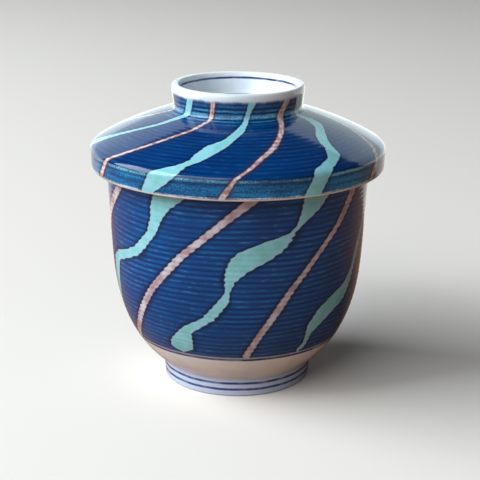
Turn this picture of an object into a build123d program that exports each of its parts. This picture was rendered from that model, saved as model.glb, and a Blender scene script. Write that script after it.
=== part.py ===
"""A lidded porcelain rice bowl: a deep footed bowl and the umbrella-shaped lid that caps it.

The clay of each piece is turned, so both are one revolved section about the Z axis.
Millimetres, +Z up, origin at the centre of the circle that the foot stands on.
The lid is modelled where it rests, on the bowl's lip.
"""
from build123d import *
import math
import os

os.makedirs("parts", exist_ok=True)


def heading(degrees):
    """Unit direction in the section plane, measured from outward towards up."""
    angle = math.radians(degrees)
    return (math.cos(angle), math.sin(angle))


# Headings of the outlines, in degrees from outward towards up
LEVEL = 0
INWARD = 180
DOWN = -90
belly_start_heading = 36      # the body flares from the foot
wall_end_heading = 87.5       # and is almost upright at the lip
inner_wall_heading = -92
lid_slope_heading = -16       # the lid falls away from its ring
lid_shoulder_heading = -31
lid_seat_heading = 155        # the lid's underside rises from the bowl's lip
ring_inner_heading = 84
ring_outer_heading = -93

# Foot ring of the bowl
foot_radius = 28.0            # outside, just above the table
foot_top_radius = 28.5        # where the foot meets the body
foot_height = 7.2
foot_inner_radius = 24.2
foot_recess_radius = 23.4
foot_recess_height = 5.2      # hollow turned out of the underside
foot_land_round = 0.7         # soft corners of the standing ring

# Body of the bowl
belly_radius = 38.6           # low on the flank, where it turns from the foot
belly_height = 18.0
flank_radius = 45.2
flank_height = 33.5
wall_radius = 48.1            # on the upright wall
wall_height = 59.0
lip_radius = 48.0             # middle of the rounded lip
lip_centre_height = 89.5
lip_round = 1.7               # half the lip's thickness
wall_thickness = 3.6
floor_height = 11.2           # inside, on the axis
inner_flank_rise = 1.2        # the inside turns a little higher than the outside
inner_belly_rise = 3.2

# Lid
rim_radius = 55.3             # the ridge, the lid's widest circle
rim_height = 90.5
skirt_radius = 55.0           # outside of the band below the ridge
skirt_inner_radius = 51.7
skirt_bottom = 83.2
skirt_round = 1.2             # rounded lower edge
skirt_corner_height = 90.0    # where the band meets the lid's underside
shoulder_radius = 53.4        # where the slope turns down into the ridge
shoulder_height = 92.9
slope_radius = 40.0
slope_height = 99.5
seat_radius = 48.0            # underside, over the bowl's lip
seat_height = 91.8
vault_height = 101.4          # underside, on the axis
vault_slope_radius = 33.0
vault_slope_height = 97.3

# Ring on the lid: its handle, and its foot when the lid is used as a dish
neck_radius = 23.9
neck_height = 105.0
neck_round = 1.2
ring_radius = 24.8            # outside, below the rounded rim
ring_inner_radius = 21.9
ring_crown_height = 111.9     # where the rounding of the rim begins
ring_top = 114.3
ring_land_inner_radius = 22.9
ring_land_outer_radius = 23.9
ring_floor_radius = 20.8
ring_floor_height = 106.4
ring_floor_round = 1.4


with BuildPart() as bowl:
    with BuildSketch(Plane.XZ) as bowl_section:
        with BuildLine():
            Spline(
                (foot_top_radius, foot_height),
                (belly_radius, belly_height),
                (flank_radius, flank_height),
                (wall_radius, wall_height),
                (lip_radius + lip_round, lip_centre_height),
                tangents=(heading(belly_start_heading), heading(wall_end_heading)),
            )
            ThreePointArc(
                (lip_radius + lip_round, lip_centre_height),
                (lip_radius, lip_centre_height + lip_round),
                (lip_radius - lip_round, lip_centre_height),
            )
            Spline(
                (lip_radius - lip_round, lip_centre_height),
                (wall_radius - wall_thickness, wall_height),
                (flank_radius - wall_thickness, flank_height + inner_flank_rise),
                (belly_radius - wall_thickness, belly_height + inner_belly_rise),
                (0, floor_height),
                tangents=(heading(inner_wall_heading), heading(INWARD)),
            )
            Polyline(
                (0, floor_height),
                (0, foot_recess_height),
                (foot_recess_radius, foot_recess_height),
                (foot_inner_radius, 0),
                (foot_radius, 0),
                (foot_top_radius, foot_height),
            )
        make_face()
        foot_corners = bowl_section.vertices().group_by(Axis.Y)[0]
        fillet(foot_corners, foot_land_round)
    revolve(axis=Axis.Z)

with BuildPart() as lid:
    with BuildSketch(Plane.XZ) as lid_section:
        with BuildLine():
            Spline(
                (neck_radius, neck_height),
                (slope_radius, slope_height),
                (shoulder_radius, shoulder_height),
                tangents=(heading(lid_slope_heading), heading(lid_shoulder_heading)),
            )
            Spline(
                (shoulder_radius, shoulder_height),
                (rim_radius, rim_height),
                tangents=(heading(lid_shoulder_heading), heading(DOWN)),
            )
            Polyline(
                (rim_radius, rim_height),
                (skirt_radius, skirt_bottom),
                (skirt_inner_radius, skirt_bottom),
                (skirt_inner_radius, skirt_corner_height),
            )
            Line(
                (skirt_inner_radius, skirt_corner_height),
                (seat_radius, seat_height),
            )
            Spline(
                (seat_radius, seat_height),
                (vault_slope_radius, vault_slope_height),
                (0, vault_height),
                tangents=(heading(lid_seat_heading), heading(INWARD)),
            )
            Polyline(
                (0, vault_height),
                (0, ring_floor_height),
                (ring_floor_radius, ring_floor_height),
                (ring_inner_radius, ring_crown_height),
            )
            Spline(
                (ring_inner_radius, ring_crown_height),
                (ring_land_inner_radius, ring_top),
                tangents=(heading(ring_inner_heading), heading(LEVEL)),
            )
            Line((ring_land_inner_radius, ring_top), (ring_land_outer_radius, ring_top))
            Spline(
                (ring_land_outer_radius, ring_top),
                (ring_radius, ring_crown_height),
                tangents=(heading(LEVEL), heading(ring_outer_heading)),
            )
            Line((ring_radius, ring_crown_height), (neck_radius, neck_height))
        make_face()
        skirt_corners = lid_section.vertices().group_by(Axis.Y)[0]
        fillet(skirt_corners, skirt_round)
        neck_corner = lid_section.vertices().sort_by_distance((neck_radius, neck_height))[0]
        fillet(neck_corner, neck_round)
        recess_corner = lid_section.vertices().sort_by_distance(
            (ring_floor_radius, ring_floor_height)
        )[0]
        fillet(recess_corner, ring_floor_round)
    revolve(axis=Axis.Z)

bowl.part.label = "bowl"
export_step(bowl.part, "parts/bowl.step")

lid.part.label = "lid"
export_step(lid.part, "parts/lid.step")
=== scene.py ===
"""Looks of a lidded porcelain rice bowl: combed blue glaze with mint and pink streaks.

Profiles, heights and widths are millimetres here and become metres when a mesh is made.
Angles are degrees about Z: 0 is the side towards the camera (-Y) and positive is to its right.
"""

import math

import bpy
import numpy as np
from mathutils import Matrix, Vector


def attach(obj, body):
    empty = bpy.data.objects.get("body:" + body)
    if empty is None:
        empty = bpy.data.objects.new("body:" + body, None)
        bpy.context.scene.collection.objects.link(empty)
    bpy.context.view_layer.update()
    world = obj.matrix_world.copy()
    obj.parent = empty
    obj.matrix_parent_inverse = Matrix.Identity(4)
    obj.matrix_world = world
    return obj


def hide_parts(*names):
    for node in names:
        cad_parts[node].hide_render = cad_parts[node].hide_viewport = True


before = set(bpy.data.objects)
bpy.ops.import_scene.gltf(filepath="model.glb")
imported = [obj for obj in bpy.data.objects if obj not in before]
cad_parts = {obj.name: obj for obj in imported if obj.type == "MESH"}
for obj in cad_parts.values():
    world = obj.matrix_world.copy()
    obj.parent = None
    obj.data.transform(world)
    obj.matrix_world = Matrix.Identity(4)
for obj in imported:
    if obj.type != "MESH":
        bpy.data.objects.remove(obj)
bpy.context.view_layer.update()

MM = 0.001
SEGMENTS = 256
FULL_TURN = 360.0


# ---------------------------------------------------------------- section curves

def heading(degrees):
    """Unit direction in the section, measured from outward towards up."""
    angle = math.radians(degrees)
    return np.array((math.cos(angle), math.sin(angle)))


def curve(points, start, end, count):
    """A smooth curve through the points that leaves along start and arrives along end, in degrees."""
    points = np.array(points, float)
    chords = np.hypot(*np.diff(points, axis=0).T)
    knots = np.concatenate(([0.0], np.cumsum(chords)))
    slopes = np.empty_like(points)
    slopes[0] = heading(start)
    slopes[-1] = heading(end)
    inner = len(points) - 2
    if inner:
        system = np.zeros((inner, inner))
        known = np.zeros((inner, 2))
        for row in range(inner):
            before, after = chords[row], chords[row + 1]
            system[row, row] = 2 * (before + after)
            known[row] = 3 * (
                (points[row + 1] - points[row]) * after / before
                + (points[row + 2] - points[row + 1]) * before / after
            )
            if row:
                system[row, row - 1] = after
            else:
                known[row] -= after * slopes[0]
            if row < inner - 1:
                system[row, row + 1] = before
            else:
                known[row] -= before * slopes[-1]
        slopes[1:-1] = np.linalg.solve(system, known)
    places = np.linspace(0, knots[-1], count)
    span = np.clip(np.searchsorted(knots, places, side="right") - 1, 0, len(chords) - 1)
    length = chords[span][:, None]
    t = (places - knots[span])[:, None] / length
    return (
        points[span] * (1 + 2 * t) * (1 - t) ** 2
        + points[span + 1] * t**2 * (3 - 2 * t)
        + slopes[span] * length * t * (1 - t) ** 2
        - slopes[span + 1] * length * t**2 * (1 - t)
    )


def straight(start, end, count):
    return np.linspace(start, end, count)


def arc(centre, radius, start, end, count):
    angles = np.radians(np.linspace(start, end, count))
    return np.array(centre) + radius * np.column_stack((np.cos(angles), np.sin(angles)))


def distances(points):
    return np.concatenate(([0.0], np.cumsum(np.hypot(*np.diff(points, axis=0).T))))


def eased(first, second, reach, count=6):
    """The corner between two stretches, rounded over reach on both sides."""
    corner = first[-1]
    from_end = distances(first)[-1] - distances(first)
    from_start = distances(second)
    kept_first = first[from_end > reach]
    kept_second = second[from_start > reach]
    enter = np.array([np.interp(reach, from_end[::-1], first[::-1, axis]) for axis in (0, 1)])
    leave = np.array([np.interp(reach, from_start, second[:, axis]) for axis in (0, 1)])
    t = np.linspace(0, 1, count)[:, None]
    bend = enter * (1 - t) ** 2 + corner * 2 * t * (1 - t) + leave * t**2
    return np.concatenate((kept_first, bend)), kept_second


def joined(stretches, corners):
    """One outline from its stretches; corners[i] rounds the end of stretch i, or is 0 where it is smooth."""
    outline = stretches[0]
    for following, reach in zip(stretches[1:], corners):
        if reach:
            outline, following = eased(outline, following, reach)
        else:
            following = following[1:]
        outline = np.concatenate((outline, following))
    return outline


# ---------------------------------------------------------------- the combed relief

COMB_PITCH = 2.0              # from one combed line to the next
RINGS_PER_LINE = 6
SEEDED_LINES = 400            # more lines than any piece has, each with its own strength


def ring_count(length):
    return int(round(length * RINGS_PER_LINE / COMB_PITCH))


def waves(rng, count, size, turns, rise):
    """Slow unevenness round and up a turned piece, as the sum of count waves.

    size is the first wave's height, turns the most crests round the piece and rise the most radians per mm.
    """
    picks = [
        (
            size / math.sqrt(k + 1),
            rng.integers(1, turns + 1),
            rng.uniform(-rise, rise),
            rng.uniform(0, math.tau),
        )
        for k in range(count)
    ]

    def at(run, angle):
        return sum(a * np.sin(n * angle + r * run + p) for a, n, r, p in picks)

    return at


def comb(rng, run, angle):
    """The combed lines as a wave from -1, in a line, to 1 between two lines, with their uneven strength."""
    drift = waves(rng, count=6, size=0.13, turns=5, rise=0.2)(run, angle)
    phase = run / COMB_PITCH + drift
    line = np.floor(phase + 0.5).astype(int)
    strength = rng.uniform(0.4, 1.0, SEEDED_LINES)[line % SEEDED_LINES]
    fade = 1 + waves(rng, count=6, size=0.22, turns=9, rise=1.3)(run, angle)
    return -np.cos(math.tau * phase) * strength * fade


# ---------------------------------------------------------------- painted streaks

FAR = 30.0                    # offset given where no streak is near
OVERSHOOT = 4.0               # how far a streak runs on past its first and last point
FINE_PLACES = 400
SOFTENING = 13                # places that one corner is spread over


class Streak:
    """A brushed streak as (place, angle, width) points, where place is a height or a run in mm."""

    def __init__(self, points, turned=0.0):
        self.points = np.array(sorted(points), float)
        self.turned = turned

    def turn(self, degrees):
        return Streak(self.points.tolist(), self.turned + degrees)

    def at(self, places):
        """Angle and width at each place, with the corners between the points softened."""
        start, end = self.points[0, 0] - OVERSHOOT, self.points[-1, 0] + OVERSHOOT
        fine = np.linspace(start, end, FINE_PLACES)
        window = np.hanning(SOFTENING)
        window /= window.sum()
        smooth = []
        for column in (1, 2):
            values = np.interp(fine, self.points[:, 0], self.points[:, column])
            padded = np.pad(values, SOFTENING // 2, mode="edge")
            smooth.append(np.convolve(padded, window, mode="valid"))
        angle, width = (np.interp(places, fine, values) for values in smooth)
        return angle + self.turned, width


def nearest_streak(streaks, places, run, radii, ring, column):
    """Offset from the nearest streak's middle and its half width, both in mm, at each corner of each face.

    ring and column are the corners' ring and segment numbers, one row for each face.
    All corners of a face measure from the same streak, so the two values stay straight across it.
    """
    step = FULL_TURN / SEGMENTS
    corner_angle = column * step
    face_angle = corner_angle.mean(axis=1)
    best = np.full(len(ring), np.inf)
    offset = np.full(ring.shape, FAR)
    half = np.zeros(ring.shape)
    for streak in streaks:
        angle, width = streak.at(places)
        slope = np.gradient(np.radians(angle), run) * radii
        lean = 1 / np.sqrt(1 + slope**2)
        face_middle = angle[ring].mean(axis=1)
        away = (face_angle - face_middle + 180) % FULL_TURN - 180
        corner_away = away[:, None] + (corner_angle - face_angle[:, None])
        corner_away -= angle[ring] - face_middle[:, None]
        corner_offset = np.radians(corner_away) * radii[ring] * lean[ring]
        corner_half = width[ring] / 2 * lean[ring]
        reach = np.abs(corner_offset).mean(axis=1) - corner_half.mean(axis=1)
        nearer = reach < best
        best[nearer] = reach[nearer]
        offset[nearer] = corner_offset[nearer]
        half[nearer] = corner_half[nearer]
    return np.clip(offset, -FAR, FAR), half


# ---------------------------------------------------------------- turned meshes

def run_along(outline, zero_at, direction):
    """Distance along the outline from the point of it nearest to zero_at, counted in direction."""
    run = distances(outline)
    nearest = np.argmin(np.hypot(*(outline - np.array(zero_at)).T))
    return (run - run[nearest]) * direction


def about_axis(radius, angle, height):
    """Points at that radius and height, at that angle in radians from the front."""
    return np.stack((radius * np.sin(angle), -radius * np.cos(angle), height), axis=-1)


def turned_grid(outline, run, combed, relief, seed):
    """The points of a turned surface, one row for each ring, with the combing lifted out of it.

    The run, the angle and the comb's value at each point come with them.
    """
    rng = np.random.default_rng(seed)
    angle = np.radians(np.arange(SEGMENTS) * FULL_TURN / SEGMENTS)
    run_grid, angle_grid = np.meshgrid(run, angle, indexing="ij")
    within = np.clip(run_grid - combed[0], 0, 1) * np.clip(combed[1] - run_grid, 0, 1)
    lines = comb(rng, run_grid, angle_grid) * within
    uneven = waves(rng, count=4, size=0.02, turns=3, rise=0.05)(run_grid, angle_grid) * within

    along = np.gradient(outline, axis=0)
    along /= np.hypot(*along.T)[:, None] + 1e-12
    outward = np.column_stack((-along[:, 1], along[:, 0]))
    lift = lines * relief / 2 + uneven
    radius = outline[:, 0, None] + outward[:, 0, None] * lift
    height = outline[:, 1, None] + outward[:, 1, None] * lift
    radius[0] = radius[-1] = 0.0
    return about_axis(radius, angle_grid, height), run_grid, angle_grid, lines


def per_vertex(grid):
    """The values of a grid in the order of the vertices: the rings between the poles, then both poles."""
    between_poles = grid[1:-1].reshape(-1, *grid.shape[2:])
    return np.concatenate((between_poles, grid[0, :1], grid[-1, :1]))


def closed_mesh(name, vertices, rings):
    """Quads between neighbouring rings, and a fan of triangles round each pole."""
    number = np.arange((rings - 2) * SEGMENTS).reshape(rings - 2, SEGMENTS)
    following = np.roll(number, -1, axis=1)
    first_pole = number.size
    last_pole = number.size + 1
    quads = np.stack((number[:-1], number[1:], following[1:], following[:-1]), axis=-1).reshape(-1, 4)
    fan_start = [(first_pole, a, b) for a, b in zip(number[0], following[0])]
    fan_end = [(last_pole, b, a) for a, b in zip(number[-1], following[-1])]
    mesh = bpy.data.meshes.new(name)
    mesh.from_pydata(vertices.tolist(), [], quads.tolist() + fan_start + fan_end)
    return mesh


def store(mesh, label, kind, values, domain="POINT"):
    layer = mesh.attributes.new(label, kind, domain)
    field = "vector" if kind == "FLOAT_VECTOR" else "value"
    layer.data.foreach_set(field, np.asarray(values, np.float32).ravel())


def store_streaks(mesh, streaks, places, run, radii):
    """Stores where each corner of each face lies from the nearest streak of each paint."""
    rows, columns = np.meshgrid(np.arange(1, len(run) - 2), np.arange(SEGMENTS), indexing="ij")
    ring = np.stack((rows, rows + 1, rows + 1, rows), axis=-1).reshape(-1, 4)
    column = np.stack((columns, columns, columns + 1, columns + 1), axis=-1).reshape(-1, 4)
    fans = np.zeros(6 * SEGMENTS)         # corners of the triangles round the two poles
    for paint, group in streaks.items():
        offset, half = nearest_streak(group, places, run, radii, ring, column)
        offset = np.concatenate((offset.ravel(), fans + FAR))
        half = np.concatenate((half.ravel(), fans))
        store(mesh, paint + "_offset", "FLOAT", offset, "CORNER")
        store(mesh, paint + "_half", "FLOAT", half, "CORNER")


def turned_piece(name, outline, run, combed, relief, seed, streaks, places):
    """A closed turned mesh that carries what its glaze is painted by.

    outline goes from the axis to the axis with the air on its left.
    run is each point's distance along it, and places is the coordinate that the streaks are given by.
    combed is the stretch of run that is combed, and relief the height of the combing in mm.
    """
    points, run_grid, angle_grid, lines = turned_grid(outline, run, combed, relief, seed)
    vertices = per_vertex(points) * MM
    mesh = closed_mesh(name, vertices, len(outline))
    wrap_radius = outline[:, 0].max()
    store(mesh, "run", "FLOAT", per_vertex(run_grid))
    store(mesh, "comb", "FLOAT", per_vertex(lines))
    store(mesh, "wrap", "FLOAT_VECTOR", per_vertex(about_axis(wrap_radius, angle_grid, run_grid)))
    store(mesh, "place", "FLOAT_VECTOR", vertices / MM)
    store_streaks(mesh, streaks, places, run, outline[:, 0])
    mesh.polygons.foreach_set("use_smooth", np.ones(len(mesh.polygons), bool))
    mesh.update()
    piece = bpy.data.objects.new(name, mesh)
    bpy.context.scene.collection.objects.link(piece)
    return piece


# Headings of the outlines, in degrees from outward towards up
LEVEL = 0
INWARD = 180
DOWN = -90
BACK = 180                    # turns a heading round, where the outline runs the other way

# ---------------------------------------------------------------- bowl

foot_radius = 28.0
foot_top_radius = 28.5
foot_height = 7.2
foot_inner_radius = 24.2
foot_recess_radius = 23.4
foot_recess_height = 5.2
belly_radius = 38.6
belly_height = 18.0
flank_radius = 45.2
flank_height = 33.5
wall_radius = 48.1
wall_height = 59.0
lip_radius = 48.0
lip_centre_height = 89.5
lip_round = 1.7
wall_thickness = 3.6
floor_height = 11.2
inner_flank_rise = 1.2        # the inside turns a little higher than the outside
inner_belly_rise = 3.2
belly_start_heading = 36
wall_end_heading = 87.5
inner_wall_heading = -92
outside_length = 88           # rough length of the flank and wall, for the number of rings

bowl_outside = [
    (foot_top_radius, foot_height),
    (belly_radius, belly_height),
    (flank_radius, flank_height),
    (wall_radius, wall_height),
    (lip_radius + lip_round, lip_centre_height),
]
bowl_inside = [
    (0.0, floor_height),
    (belly_radius - wall_thickness, belly_height + inner_belly_rise),
    (flank_radius - wall_thickness, flank_height + inner_flank_rise),
    (wall_radius - wall_thickness, wall_height),
    (lip_radius - lip_round, lip_centre_height),
]


def bowl_outline():
    """The bowl's section, each stretch with its number of points."""
    inside = curve(bowl_inside, LEVEL, inner_wall_heading + BACK, 46)
    lip = arc((lip_radius, lip_centre_height), lip_round, 180, 0, 13)
    outside = curve(
        bowl_outside[::-1], wall_end_heading - BACK, belly_start_heading - BACK, ring_count(outside_length)
    )
    foot_wall = straight((foot_top_radius, foot_height), (foot_radius, 0), 14)
    land = straight((foot_radius, 0), (foot_inner_radius, 0), 8)
    recess_wall = straight((foot_inner_radius, 0), (foot_recess_radius, foot_recess_height), 8)
    underside = straight((foot_recess_radius, foot_recess_height), (0, foot_recess_height), 8)
    return joined(
        [inside, lip, outside, foot_wall, land, recess_wall, underside],
        [0, 0, 1.1, 0.7, 0.7, 1.2],
    )


bowl_section = bowl_outline()
# 0 at the top of the foot, and rising up the outside
bowl_run = run_along(bowl_section, (foot_top_radius, foot_height), -1)
LIP_RUN = float(bowl_run[np.argmin(np.hypot(*(bowl_section - np.array(bowl_outside[-1])).T))])


def run_at(height):
    """Run of the bowl's outside at that height."""
    outside = (bowl_run > -foot_height) & (bowl_run <= LIP_RUN)
    return float(np.interp(height, bowl_section[outside, 1][::-1], bowl_run[outside][::-1]))


# Streaks on the bowl: (height, angle, width)
bowl_mint_left = Streak([
    (82, -29, 13), (77, -34, 8), (73, -36, 5), (67, -39, 4), (60, -47, 5), (57, -53, 8), (55, -60, 11),
    (51, -70, 6), (37, -75, 5.5), (30, -78, 4.5), (22, -92, 4.5),
])
bowl_mint_middle = Streak([
    (82, 35, 11), (77, 32, 7.5), (72, 27, 2), (69, 23, 2), (67, 18, 9), (63, 10, 16), (60, 5.5, 14),
    (56, 0, 8), (52, -3, 3.5), (48, -4, 1.5), (44, -6, 4), (37, -13, 4.5), (33, -21, 6), (30.5, -25, 5),
    (26, -28, 9), (22.5, -29, 9), (21, -29, 0),
])
bowl_mint_right = Streak([
    (84, 80, 5.5), (65, 74, 3), (57, 68, 4), (50, 64, 2.5), (45, 60, 5), (41.5, 54, 11), (38, 49, 14),
    (35, 44, 10), (32, 40, 7.5), (28, 37, 2.5), (24, 36.5, 1.5), (22, 35, 3), (21, 34, 1),
])
bowl_pink_far_left = Streak([
    (84, -56, 4), (76, -66, 5), (65, -80, 4), (50, -93, 3), (24, -107, 2.5),
])
bowl_pink_left = Streak([
    (90, 13, 4.5), (82, 6, 5), (74, -5.5, 3.5), (60, -24.5, 3.5), (45, -41, 3), (30, -54.5, 3),
    (21, -64.5, 3),
])
bowl_pink_right = Streak([
    (80, 57.5, 4), (70, 49, 3), (58, 35, 2.5), (48, 24.5, 2.5), (43, 20.5, 3), (30, 10.5, 2.5),
    (21.5, 5, 2.5),
])
bowl_streaks = {
    "mint": [
        bowl_mint_left, bowl_mint_middle, bowl_mint_right,
        bowl_mint_middle.turn(129), bowl_mint_left.turn(-124), bowl_mint_right.turn(180),
    ],
    "pink": [
        bowl_pink_far_left, bowl_pink_left, bowl_pink_right,
        bowl_pink_right.turn(63), bowl_pink_left.turn(182), bowl_pink_right.turn(183),
    ],
}

# ---------------------------------------------------------------- lid

ring_land_inner_radius = 22.9
ring_land_outer_radius = 23.9
ring_top = 114.3
ring_radius = 24.8
ring_inner_radius = 21.9
ring_crown_height = 111.9
ring_floor_radius = 20.8
ring_floor_height = 106.4
neck_radius = 23.9
neck_height = 105.0
slope_radius = 40.0
slope_height = 99.5
shoulder_radius = 53.4
shoulder_height = 92.9
rim_radius = 55.3
rim_height = 90.5
skirt_radius = 55.0
skirt_inner_radius = 51.7
skirt_bottom = 83.2
skirt_corner_height = 90.0
seat_radius = 48.0
seat_height = 91.8
vault_slope_radius = 33.0
vault_slope_height = 97.3
vault_height = 101.4
ring_inner_heading = 84
ring_outer_heading = -93
lid_slope_heading = -16
lid_shoulder_heading = -31
lid_seat_heading = 155
ring_wall_length = 7          # rough lengths, for the number of rings
slope_length = 32
band_length = 7.3


def lid_outline():
    """The lid's section, each stretch with its number of points."""
    ring_floor = straight((0, ring_floor_height), (ring_floor_radius, ring_floor_height), 12)
    ring_inside = straight(ring_floor[-1], (ring_inner_radius, ring_crown_height), 12)
    crown_inside = curve([ring_inside[-1], (ring_land_inner_radius, ring_top)], ring_inner_heading, LEVEL, 9)
    land = straight(crown_inside[-1], (ring_land_outer_radius, ring_top), 4)
    crown_outside = curve([land[-1], (ring_radius, ring_crown_height)], LEVEL, ring_outer_heading, 11)
    ring_wall = straight(crown_outside[-1], (neck_radius, neck_height), ring_count(ring_wall_length))
    slope = curve(
        [ring_wall[-1], (slope_radius, slope_height), (shoulder_radius, shoulder_height)],
        lid_slope_heading, lid_shoulder_heading, ring_count(slope_length),
    )
    shoulder = curve([slope[-1], (rim_radius, rim_height)], lid_shoulder_heading, DOWN, 16)
    band = straight(shoulder[-1], (skirt_radius, skirt_bottom), ring_count(band_length))
    lower_edge = straight(band[-1], (skirt_inner_radius, skirt_bottom), 10)
    skirt_inside = straight(lower_edge[-1], (skirt_inner_radius, skirt_corner_height), 10)
    corner = straight(skirt_inside[-1], (seat_radius, seat_height), 6)
    vault = curve(
        [corner[-1], (vault_slope_radius, vault_slope_height), (0, vault_height)],
        lid_seat_heading, INWARD, 40,
    )
    return joined(
        [ring_floor, ring_inside, crown_inside, land, crown_outside, ring_wall, slope,
         shoulder, band, lower_edge, skirt_inside, corner, vault],
        [1.6, 0, 0, 0, 0, 1.5, 0, 0, 1.2, 1.2, 0.8, 0.5],
    )


lid_section = lid_outline()
# 0 at the outer edge of the ring's land, and rising down the outside
lid_run = run_along(lid_section, (ring_land_outer_radius, ring_top), 1)

# Streaks on the lid: (run, angle, width)
lid_mint_far_left = Streak([
    (3.5, -44.5, 3), (9, -49.5, 3), (11, -52.5, 3), (19, -58.5, 2), (26, -67, 2), (33, -75.5, 3),
    (40, -83, 5.5), (52, -93, 5.5),
])
lid_mint_left = Streak([
    (3.5, 12, 2.5), (7, 9, 1.5), (13, 4.5, 2), (18, 0.5, 3.5), (23, -4.5, 3.5), (27.5, -10.5, 7),
    (32.5, -15, 6), (36, -17.5, 4), (39, -22, 3.5), (43.5, -28, 10.5), (47, -31, 8.5), (50.5, -34.5, 5),
])
lid_mint_right = Streak([
    (4, 63, 2.5), (12, 61, 2.5), (15, 62.5, 4), (19.5, 60, 5), (24.5, 50.5, 5.5), (28.5, 46.5, 4.5),
    (31.5, 45.5, 3.5), (37, 43, 6), (42, 33.5, 8), (45, 31.5, 6.5), (52, 27.5, 6.5),
])
lid_pink_left = Streak([
    (3.5, -21, 1.5), (11.5, -24.5, 1.5), (18, -29.5, 1.5), (25, -38, 1.5), (43, -57.5, 2),
    (50.5, -63.5, 3),
])
lid_pink_middle = Streak([
    (4, 45.5, 3), (7.5, 41, 3), (15, 32, 2), (23.5, 22.5, 2), (29, 16.5, 2.5), (34, 10, 2),
    (40, 4, 1.5), (44, -1, 1.5), (50.5, -5.5, 2.5),
])
lid_pink_right = Streak([
    (4, 94, 2), (22.5, 85, 2), (32, 78, 2), (39, 72, 2.5), (43, 66, 3), (50.5, 61, 3.5),
])
lid_streaks = {
    "mint": [
        lid_mint_far_left, lid_mint_left, lid_mint_right,
        lid_mint_right.turn(63), lid_mint_left.turn(183), lid_mint_far_left.turn(-62),
    ],
    "pink": [
        lid_pink_left, lid_pink_middle, lid_pink_right,
        lid_pink_middle.turn(124), lid_pink_right.turn(123), lid_pink_left.turn(-56),
    ],
}


# ---------------------------------------------------------------- glaze

def colour(red, green, blue):
    """Linear colour of a paint given as sRGB bytes."""
    linear = []
    for value in (red, green, blue):
        value /= 255
        linear.append(value / 12.92 if value <= 0.04045 else ((value + 0.055) / 1.055) ** 2.4)
    return (*linear, 1.0)


WHITE = colour(230, 237, 242)
PALE_BLUE = colour(178, 205, 226)
# Bluish white of the foot, darkened as painted shade under the body's overhang
FOOT_SHADE_BLUE = colour(188, 206, 236)
THIN_BLUE = colour(146, 154, 182)
BARE_CLAY = colour(214, 206, 196)
LINE_BLUE = colour(28, 46, 104)
FOOT_LINE_BLUE = colour(50, 72, 122)
RING_LINE_BLUE = colour(40, 62, 116)

RIPPLE_HEIGHT = 0.04
BARE_SOFTNESS = 0.15          # how gradually the glaze ends at the bare clay


class Glaze:
    """The nodes of one glazed material, each made by a short call."""

    def __init__(self, name):
        self.material = bpy.data.materials.new(name)
        self.material.use_nodes = True
        self.tree = self.material.node_tree
        self.tree.nodes.clear()
        self.output = self.tree.nodes.new("ShaderNodeOutputMaterial")
        self.shader = self.tree.nodes.new("ShaderNodeBsdfPrincipled")
        self.tree.links.new(self.shader.outputs["BSDF"], self.output.inputs["Surface"])
        self.wrap = self.attribute("wrap", vector=True)
        self.place = self.attribute("place", vector=True)
        self.run = self.attribute("run")
        self.comb = self.attribute("comb")

    def feed(self, socket, value):
        if isinstance(value, bpy.types.NodeSocket):
            self.tree.links.new(value, socket)
        else:
            socket.default_value = value

    def attribute(self, label, vector=False):
        node = self.tree.nodes.new("ShaderNodeAttribute")
        node.attribute_name = label
        return node.outputs["Vector" if vector else "Fac"]

    def math(self, operation, first, second=0.0):
        node = self.tree.nodes.new("ShaderNodeMath")
        node.operation = operation
        self.feed(node.inputs[0], first)
        self.feed(node.inputs[1], second)
        return node.outputs[0]

    def add(self, first, second):
        return self.math("ADD", first, second)

    def times(self, first, second):
        return self.math("MULTIPLY", first, second)

    def sway(self, noise, amount):
        """That noise as a shift to both sides of 0."""
        return self.times(self.add(noise, -0.5), amount)

    def step(self, value, low, high, to_low=0.0, to_high=1.0):
        """Rises smoothly from to_low at low to to_high at high."""
        node = self.tree.nodes.new("ShaderNodeMapRange")
        node.interpolation_type = "SMOOTHSTEP"
        for socket, given in zip(node.inputs, (value, low, high, to_low, to_high)):
            self.feed(socket, given)
        return node.outputs[0]

    def line(self, value, middle, width, soft):
        """1 on a painted line of that width, 0 away from it."""
        away = self.math("ABSOLUTE", self.math("SUBTRACT", value, middle))
        return self.step(away, width / 2 + soft, width / 2 - soft)

    def within(self, value, low, high, soft):
        """1 between low and high, 0 outside them."""
        above = self.step(value, low - soft, low + soft)
        below = self.step(value, high + soft, high - soft)
        return self.times(above, below)

    def noise(self, size, detail=2.0, stretch=None, seed=0.0, solid=False):
        """Noise with features of about that size in mm; stretch makes them longer round the piece.

        solid takes the noise from the place in the clay, which also suits the flat middle of a piece.
        """
        where = self.place if solid else self.wrap
        if stretch:
            scaled = self.tree.nodes.new("ShaderNodeVectorMath")
            scaled.operation = "MULTIPLY"
            self.feed(scaled.inputs[0], where)
            scaled.inputs[1].default_value = (1 / stretch, 1 / stretch, 1.0)
            where = scaled.outputs[0]
        node = self.tree.nodes.new("ShaderNodeTexNoise")
        node.noise_dimensions = "4D"
        self.feed(node.inputs["Vector"], where)
        node.inputs["W"].default_value = seed
        node.inputs["Scale"].default_value = 1 / size
        node.inputs["Detail"].default_value = detail
        return node.outputs[0]

    def blend(self, amount, first, second):
        node = self.tree.nodes.new("ShaderNodeMix")
        node.data_type = "RGBA"
        self.feed(node.inputs["Factor"], amount)
        self.feed(node.inputs["A"], first)
        self.feed(node.inputs["B"], second)
        return node.outputs["Result"]

    def streak(self, label, ragged):
        """How far a point lies inside the nearest streak of that colour, in mm, negative outside."""
        offset = self.math("ABSOLUTE", self.attribute(label + "_offset"))
        inside = self.math("SUBTRACT", self.attribute(label + "_half"), offset)
        return self.add(inside, ragged)


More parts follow.
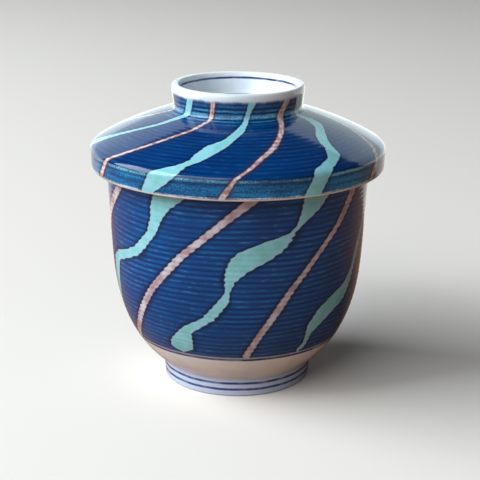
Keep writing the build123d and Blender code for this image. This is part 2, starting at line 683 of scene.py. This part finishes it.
def blue_ground(g, look):
    """The blue in the combed lines and between them, brushed along them, with painted glints on the ridges
    and its pale bands, some of them partly painted highlights.
    """
    brushed = g.noise(1.2, detail=3, stretch=12, seed=1)
    patches = g.noise(17, detail=2, seed=2)
    fleck = g.noise(0.6, detail=2, seed=3)
    ridge_glints = g.noise(0.8, detail=2, stretch=4, seed=14)
    stripe = g.step(g.add(g.comb, g.sway(brushed, look["brushing"])), *look["stripe_edges"])
    ground = g.blend(stripe, look["line_blue"], look["ground_blue"])
    light_band = g.times(g.step(brushed, 0.45, 0.75), g.step(g.comb, -0.2, 0.9))
    ground = g.blend(g.times(light_band, look["glow"]), ground, look["light_blue"])
    ground = g.blend(g.step(patches, 0.4, 0.7, 0.0, look["patchiness"]), ground, look["line_blue"])
    # Painted glints: pale dashes of highlight along the combed ridges
    glint_mask = g.times(g.step(ridge_glints, 0.5, 0.72), g.step(g.comb, -0.3, 0.6))
    ground = g.blend(g.times(glint_mask, look["ridge_glints"]), ground, look["glint_blue"])
    texture = g.add(g.times(brushed, 0.45), g.times(fleck, 0.55))
    band_run = g.add(g.run, g.sway(patches, 0.8))
    for where, width, soft, amount, tint in look["bands_and_highlights"]:
        shade = g.line(band_run, where, width, soft)
        shade = g.times(shade, g.step(texture, 0.42, 0.58, amount / 4, amount))
        shade = g.times(shade, g.step(patches, 0.35, 0.6, 0.45, 1.0))
        ground = g.blend(shade, ground, tint)
    return ground


def streaked(g, look, ground):
    """The ground with its streaks, ragged where they cross the combed lines, each in a dark halo."""
    tremble = g.sway(g.noise(1.5, detail=2, seed=4), look["tremble"])
    ragged = g.add(g.times(g.comb, look["teeth"]), tremble)
    depth = {label: g.streak(label, ragged) for label in ("mint", "pink")}
    fray = g.noise(5, detail=3, seed=13)
    halo_reach = g.step(fray, 0.3, 0.7, -1.5 * look["halo"], -0.6 * look["halo"])
    for label in ("mint", "pink"):
        halo = g.step(depth[label], halo_reach, -0.1, 0.0, look["halo_strength"])
        ground = g.blend(halo, ground, look[label]["halo"])
    for label in ("pink", "mint"):
        paint = look[label]
        mottled = g.noise(paint["grain"], detail=3, seed=5)
        mottled = g.step(g.add(mottled, g.times(g.comb, paint["beading"])), 0.35, 0.65)
        body = g.blend(mottled, paint["deep"], paint["pale"])
        rim = g.step(depth[label], paint["rim"], 0.0)
        body = g.blend(g.times(rim, paint["rim_strength"]), body, paint["edge"])
        ground = g.blend(g.step(depth[label], -0.3, 0.18), ground, body)
    return ground


def clouded_white(g, look):
    """The white glaze of the foot, the ring and the inside, with its tinted zones, among them painted shade
    on the foot.
    """
    cloud = g.noise(9, detail=2, seed=6, solid=True)
    white = g.blend(g.step(cloud, 0.35, 0.7, 0.0, 0.35), WHITE, PALE_BLUE)
    for low, high, soft, tint in look["white_tints_and_shade"]:
        white = g.blend(g.within(g.run, low, high, soft), white, tint)
    return white


def blue_on_white(g, look, white, ground):
    """The blue from where it begins to where it ends, with a pale bleed where it begins."""
    waver = g.sway(g.noise(6, detail=2, seed=7), look["waver"])
    place = g.add(g.run, waver)
    begin, begin_soft, end, end_soft = look["blue"]
    rising = g.step(place, begin - begin_soft, begin + begin_soft)
    ending = g.step(g.add(g.run, g.times(waver, 0.4)), end + end_soft, end - end_soft)
    surface = g.blend(g.times(rising, ending), white, ground)
    bleed_width, bleed_strength = look["bleed"]
    bleed = g.line(place, begin, bleed_width, bleed_width / 2)
    return g.blend(g.times(bleed, bleed_strength), surface, PALE_BLUE)


def painted_lines(g, look, surface):
    """The surface with its thin lines, drawn by hand and not pressed evenly."""
    drawn_run = g.add(g.run, g.sway(g.noise(14, detail=1, seed=8), 0.5))
    pressed = g.step(g.noise(2.5, detail=2, stretch=3, seed=9), 0.25, 0.6, 0.65, 1.0)
    for where, width, tint in look["lines"]:
        mark = g.line(drawn_run, where, width, 0.12)
        surface = g.blend(g.times(mark, pressed), surface, tint)
    return surface


def glassy(g, look, bare):
    """Gives the glaze its gloss and its faint ripple, and leaves the bare clay dull."""
    gloss = g.step(g.noise(5, detail=2, seed=10, solid=True), 0.3, 0.7, *look["gloss"])
    g.feed(g.shader.inputs["Roughness"], g.add(gloss, g.times(bare, 0.55)))
    g.shader.inputs["IOR"].default_value = 1.42
    skin = g.tree.nodes.new("ShaderNodeBump")
    skin.inputs["Strength"].default_value = 0.25
    skin.inputs["Distance"].default_value = RIPPLE_HEIGHT * MM
    broad = g.noise(3.0, detail=1, seed=11, solid=True)
    fine = g.noise(0.9, detail=1, seed=12, solid=True)
    g.feed(skin.inputs["Height"], g.add(broad, g.times(fine, 0.3)))
    g.feed(g.shader.inputs["Normal"], skin.outputs["Normal"])


def painted_glaze(name, look):
    """The glaze of one piece, as look describes it."""
    g = Glaze(name)
    ground = streaked(g, look, blue_ground(g, look))
    surface = blue_on_white(g, look, clouded_white(g, look), ground)
    surface = painted_lines(g, look, surface)
    bare = g.within(g.run, *look["bare"], BARE_SOFTNESS)
    g.feed(g.shader.inputs["Base Color"], g.blend(bare, surface, BARE_CLAY))
    glassy(g, look, bare)
    return g.material


# A streak's paint runs from deep to pale in grains of that size, which the combed lines mottle by beading.
# It has a rim of the edge colour, of that width and strength, and a halo of that colour round it.
MINT = {
    "deep": colour(122, 196, 200), "pale": colour(140, 206, 220), "edge": colour(160, 196, 222),
    "grain": 4.0, "rim": 1.3, "rim_strength": 0.5, "beading": 0.02, "halo": colour(4, 28, 58),
}
PINK = {
    "deep": colour(166, 136, 144), "pale": colour(200, 196, 204), "edge": colour(166, 164, 186),
    "grain": 5.0, "rim": 0.6, "rim_strength": 0.6, "beading": 0.05, "halo": colour(14, 26, 54),
}
SALMON = {
    "deep": colour(168, 124, 122), "pale": colour(214, 204, 210), "edge": colour(128, 98, 110),
    "grain": 1.9, "rim": 0.35, "rim_strength": 0.5, "beading": 0.07, "halo": colour(50, 38, 56),
}

# How a piece is painted. Places are runs in mm, and widths and softnesses are mm.
# line_blue, ground_blue, light_blue: in the combed lines, between them, and where the brush left less
# brushing: how far the brushing shifts the combed lines
# stripe_edges: the comb's values over which line_blue turns to ground_blue
# glow, patchiness and the glints on the ridges: strength of the light blue, of the dark patches and of the
# painted glints, pale dashes of highlight along the combed ridges
# bands and highlights: middle, width, softness, strength and colour of each pale band, and of the lid's
# ridge line and lower edge line, which are partly painted highlights
# teeth, tremble: how far the combed lines and the hand roughen a streak's edge
# halo, halo_strength: width and strength of the dark halo round each streak
# waver: how far the place where the blue begins wanders
# blue: where the blue begins and its softness there, where it ends and its softness there
# bleed: width and strength of the pale line where the blue begins
# white tints and shade: beginning, end, softness and colour of each tinted zone on the white, among them
# painted shade on the foot
# lines: middle, width and colour of each painted line
# bare: beginning and end of the unglazed ring
# gloss: least and greatest roughness of the glaze
BOWL_LOOK = {
    "line_blue": colour(0, 50, 104), "ground_blue": colour(0, 79, 146), "light_blue": colour(34, 116, 180),
    "brushing": 1.8, "stripe_edges": (-0.9, 0.7), "glow": 0.45, "patchiness": 0.5,
    "ridge_glints": 0.5, "glint_blue": colour(58, 128, 186),
    "bands_and_highlights": [],
    "teeth": 0.2, "tremble": 0.5, "halo": 2.0, "halo_strength": 0.85,
    "mint": MINT, "pink": PINK,
    "waver": 0.35, "blue": (run_at(20.3), 0.2, 89.2, 0.4), "bleed": (0.5, 0.3),
    "white_tints_and_shade": [
        # The foot: partly its bluish white glaze, partly painted shade under the body's overhang
        (-7.4, 0.2, 0.6, FOOT_SHADE_BLUE), (run_at(19.4), run_at(20.5), 0.3, THIN_BLUE),
    ],
    "lines": [
        (run_at(2.8), 0.95, FOOT_LINE_BLUE), (run_at(5.3), 0.95, FOOT_LINE_BLUE),
        (run_at(19.2), 1.1, LINE_BLUE), (LIP_RUN + 5.5, 0.6, LINE_BLUE),
    ],
    "bare": (-11.0, -7.3), "gloss": (0.08, 0.13),
}
LID_LOOK = {
    "line_blue": colour(0, 34, 84), "ground_blue": colour(0, 55, 114), "light_blue": colour(4, 84, 146),
    "brushing": 1.6, "stripe_edges": (-1.0, 0.2), "glow": 0.3, "patchiness": 0.3,
    "ridge_glints": 0.35, "glint_blue": colour(30, 104, 164),
    "bands_and_highlights": [
        (4.9, 0.9, 0.5, 0.8, colour(40, 130, 176)), (6.7, 0.7, 0.3, 1.0, colour(64, 160, 204)),
        (8.7, 1.5, 0.5, 1.0, colour(116, 196, 232)), (10.9, 0.8, 0.4, 0.9, colour(60, 150, 196)),
        (13.2, 0.9, 0.6, 0.6, colour(50, 130, 180)),
        # The ridge line on the shoulder, partly glaze left thin on the edge and partly a painted highlight,
        # then the teal band below it
        (44.6, 0.9, 0.4, 0.9, colour(130, 210, 230)), (48.2, 5.0, 0.9, 1.0, colour(34, 138, 192)),
        # The pale line at the skirt's lower edge: partly the white where the glaze ends, partly a painted
        # highlight of the lip catching the light
        (50.6, 0.5, 0.25, 1.0, colour(226, 236, 244)),
    ],
    "teeth": 0.12, "tremble": 0.5, "halo": 1.5, "halo_strength": 0.75,
    "mint": MINT, "pink": SALMON,
    "waver": 1.3, "blue": (3.2, 0.3, 50.9, 0.25), "bleed": (1.0, 0.4),
    "white_tints_and_shade": [],
    "lines": [(-3.5, 0.8, RING_LINE_BLUE), (-10.6, 1.0, LINE_BLUE)],
    "bare": (52.6, 55.0), "gloss": (0.07, 0.11),
}

# ---------------------------------------------------------------- pieces

bowl = turned_piece(
    "bowl_glazed", bowl_section, bowl_run, combed=(14, LIP_RUN), relief=0.075, seed=3,
    streaks=bowl_streaks, places=bowl_section[:, 1],
)
bowl.data.materials.append(painted_glaze("bowl_glaze_paint", BOWL_LOOK))
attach(bowl, "bowl")
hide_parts("bowl")

lid = turned_piece(
    "lid_glazed", lid_section, lid_run, combed=(4, 51), relief=0.02, seed=8,
    streaks=lid_streaks, places=lid_run,
)
lid.data.materials.append(painted_glaze("lid_glaze_paint", LID_LOOK))
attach(lid, "lid")
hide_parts("lid")

# ---------------------------------------------------------------- stage, camera and light


def plane(name, half, level, tint):
    """A level matt sheet under the bowl, which isn't part of it."""
    mesh = bpy.data.meshes.new(name)
    corners = [(x * half, y * half, level) for x, y in ((-1, -1), (1, -1), (1, 1), (-1, 1))]
    mesh.from_pydata(corners, [], [(0, 1, 2, 3)])
    paint = bpy.data.materials.new(name + "_paint")
    paint.use_nodes = True
    shader = paint.node_tree.nodes["Principled BSDF"]
    shader.inputs["Base Color"].default_value = tint
    shader.inputs["Roughness"].default_value = 1.0
    shader.inputs["Specular IOR Level"].default_value = 0.0
    mesh.materials.append(paint)
    sheet = bpy.data.objects.new(name, mesh)
    bpy.context.scene.collection.objects.link(sheet)
    return sheet


SHEET_HALF = 4.0              # half the side of the floor, in metres
JUST_BELOW = -0.0002

# The glaze mirrors a brown wooden table, while the floor that is seen stays pale.
floor = plane("floor", SHEET_HALF, 0, colour(238, 234, 228))
floor.visible_glossy = False
floor.visible_diffuse = False
floor.visible_shadow = False
table_tone = plane("table_tone", SHEET_HALF, JUST_BELOW, colour(166, 128, 104))
table_tone.visible_camera = False
table_tone.visible_shadow = False

camera_away = 0.497
camera_height = 0.205
camera_aside = 0.001
camera_pitch = 17.0           # degrees below level
camera_roll = 0.35
camera_data = bpy.data.cameras.new("camera")
camera_data.lens = 101.25
camera_data.sensor_width = 36
camera_data.clip_start = 0.01
camera = bpy.data.objects.new("camera", camera_data)
camera.matrix_world = (
    Matrix.Translation((camera_aside, -camera_away, camera_height))
    @ Matrix.Rotation(math.radians(90 - camera_pitch), 4, "X")
    @ Matrix.Rotation(math.radians(camera_roll), 4, "Z")
)
bpy.context.scene.collection.objects.link(camera)
bpy.context.scene.camera = camera


OBJECT_MIDDLE = (0, 0, 0.06)


def soft_light(name, azimuth, elevation, away, width, height, radiance, tint, aim=OBJECT_MIDDLE):
    """A rectangular light that faces the bowl, as bright as radiance when it is seen in a mirror."""
    yaw, lift = math.radians(azimuth), math.radians(elevation)
    direction = Vector((math.sin(yaw) * math.cos(lift), -math.cos(yaw) * math.cos(lift), math.sin(lift)))
    data = bpy.data.lights.new(name, "AREA")
    data.shape = "RECTANGLE"
    data.size = width
    data.size_y = height
    data.energy = radiance * width * height * math.pi
    data.color = tint
    lamp = bpy.data.objects.new(name, data)
    place = Vector(aim) + direction * away
    lamp.matrix_world = Matrix.Translation(place) @ direction.to_track_quat("Z", "Y").to_matrix().to_4x4()
    lamp.visible_camera = False
    bpy.context.scene.collection.objects.link(lamp)
    return lamp


soft_light(
    "window", azimuth=-85, elevation=34, away=2.2, width=2.0, height=1.4,
    radiance=8.0, tint=(0.91, 0.965, 1.0),
)
soft_light(
    "room", azimuth=-35, elevation=40, away=2.4, width=2.0, height=1.3,
    radiance=3.6, tint=(0.97, 0.99, 1.0),
)
soft_light(
    "room_front", azimuth=-28, elevation=6, away=2.5, width=3.4, height=1.3,
    radiance=0.75, tint=(0.97, 0.99, 1.0),
)
# Pale cards behind the bowl, which only its glaze mirrors
white_card = soft_light(
    "white_card", azimuth=172, elevation=0, away=0.42, width=1.8, height=0.51,
    radiance=1.1, tint=(0.82, 0.98, 1.0), aim=(0, 0, 0.255),
)
white_card.visible_diffuse = False
low_card = soft_light(
    "low_card", azimuth=180, elevation=0, away=0.2, width=1.2, height=0.14,
    radiance=0.55, tint=(0.9, 0.97, 1.0), aim=(0, 0, 0.07),
)
low_card.visible_diffuse = False

world = bpy.data.worlds.new("dim_room")
world.use_nodes = True
world.node_tree.nodes["Background"].inputs["Color"].default_value = (0.9, 0.95, 1.0, 1)
world.node_tree.nodes["Background"].inputs["Strength"].default_value = 0.07
bpy.context.scene.world = world
bpy.context.scene.view_settings.view_transform = "Standard"
